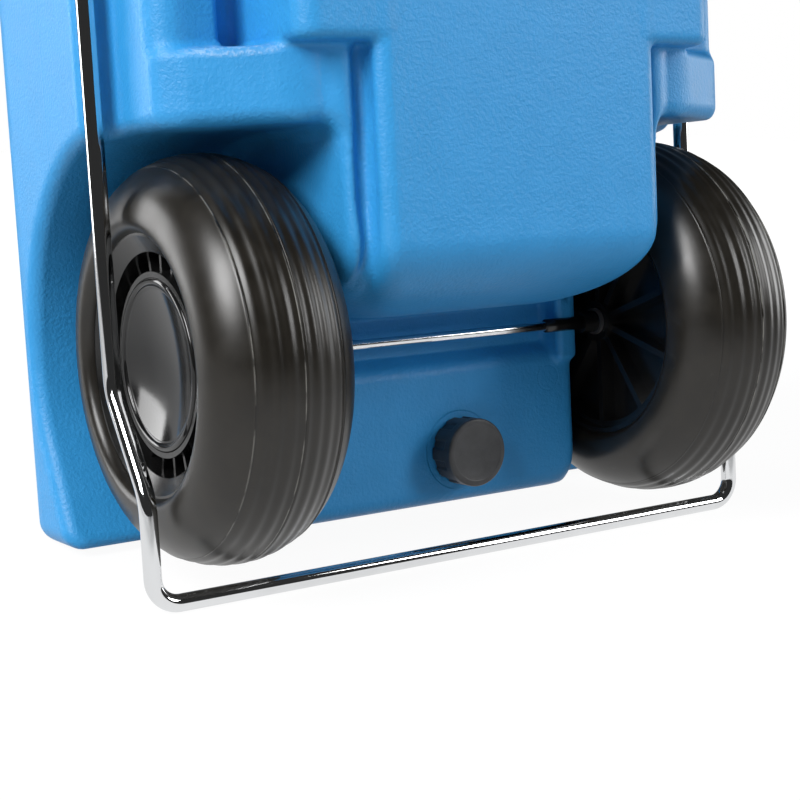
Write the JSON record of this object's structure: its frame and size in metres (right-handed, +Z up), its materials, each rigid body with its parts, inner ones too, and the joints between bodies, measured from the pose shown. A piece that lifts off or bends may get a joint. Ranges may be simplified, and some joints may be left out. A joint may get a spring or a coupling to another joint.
{
  "type": "wheeled water tank",
  "caption": "Upright moulded plastic water tank with wide wheels on a through axle, a folding bright-rod tow handle stowed round its sides, screw caps and a drain.",
  "frame": {"origin": "on the ground line under the middle of the axle, level with the tank's bottom face and the wheels' lowest points", "axes": "+X along the axle, +Y to the front face with the filler, +Z up with the tank standing on its wheel end"},
  "size_m": [0.431, 0.3026, 0.757],
  "materials": {
    "tank_plastic": "satin moulded polyethylene with a fine grain",
    "zinc_steel": "bright zinc plating",
    "chrome_rod": "bright chrome plating",
    "tyre_plastic": "satin black, hard moulded",
    "hub_plastic": "satin black",
    "hub_cap_gloss": "polished black",
    "bush_plastic": "dark grey acetal",
    "cap_plastic": "satin black",
    "seal_rubber": "matt black"
  },
  "bodies": {
    "tank": {"tank_body": "tank_plastic", "axle": "zinc_steel", "left_axle_spacer": "cap_plastic", "left_washer": "zinc_steel", "left_push_nut": "zinc_steel", "left_pivot_bush": "bush_plastic", "right_axle_spacer": "cap_plastic", "right_washer": "zinc_steel", "right_push_nut": "zinc_steel", "right_pivot_bush": "bush_plastic"},
    "left_wheel": {"left_tyre": "tyre_plastic", "left_wheel_hub": "hub_plastic", "left_hub_cap": "hub_cap_gloss", "left_spoke_disc": "hub_plastic", "left_outer_bush": "bush_plastic", "left_inner_bush": "bush_plastic"},
    "right_wheel": {"right_tyre": "tyre_plastic", "right_wheel_hub": "hub_plastic", "right_hub_cap": "hub_cap_gloss", "right_spoke_disc": "hub_plastic", "right_outer_bush": "bush_plastic", "right_inner_bush": "bush_plastic"},
    "handle": {"tow_handle": "chrome_rod"},
    "drain_seal": {"drain_gasket": "seal_rubber"},
    "drain_closure": {"drain_cap": "cap_plastic"},
    "filler_seal": {"filler_gasket": "seal_rubber"},
    "filler_closure": {"filler_cap": "cap_plastic"},
    "vent_seal": {"vent_gasket": "seal_rubber"},
    "vent_closure": {"vent_cap": "cap_plastic"}
  },
  "joints": [
    {"name": "left_wheel_spin", "type": "hinge", "parent": "tank", "child": "left_wheel", "pos_m": [-0.1575, 0, 0.115], "axis": [1, 0, 0], "continuous": true},
    {"name": "right_wheel_spin", "type": "hinge", "parent": "tank", "child": "right_wheel", "pos_m": [0.1575, 0, 0.115], "axis": [1, 0, 0], "continuous": true},
    {"name": "handle_swing", "type": "hinge", "parent": "tank", "child": "handle", "pos_m": [0, 0.0095, 0.69], "axis": [-1, 0, 0], "range_deg": [0, 180]},
    {"name": "drain_cap_lift", "type": "slide", "parent": "tank", "child": "drain_seal", "axis": [0, -1, 0], "range_m": [0, 0.006]},
    {"name": "drain_cap_turn", "type": "hinge", "parent": "drain_seal", "child": "drain_closure", "pos_m": [0.014, 0.005, 0.043], "axis": [0, -1, 0], "range_deg": [0, 720]},
    {"name": "filler_cap_lift", "type": "slide", "parent": "tank", "child": "filler_seal", "axis": [0, 1, 0], "range_m": [0, 0.006]},
    {"name": "filler_cap_turn", "type": "hinge", "parent": "filler_seal", "child": "filler_closure", "pos_m": [-0.08, 0.163, 0.63], "axis": [0, 1, 0], "range_deg": [0, 540]},
    {"name": "vent_cap_lift", "type": "slide", "parent": "tank", "child": "vent_seal", "axis": [0, 1, 0], "range_m": [0, 0.006]},
    {"name": "vent_cap_turn", "type": "hinge", "parent": "vent_seal", "child": "vent_closure", "pos_m": [0.112, 0.163, 0.63], "axis": [0, 1, 0], "range_deg": [0, 720]}
  ],
  "couplings": [
    {"joint": "drain_cap_lift", "follows": "drain_cap_turn", "m_per_rad": 0.000477},
    {"joint": "filler_cap_lift", "follows": "filler_cap_turn", "m_per_rad": 0.0006361},
    {"joint": "vent_cap_lift", "follows": "vent_cap_turn", "m_per_rad": 0.000477}
  ]
}
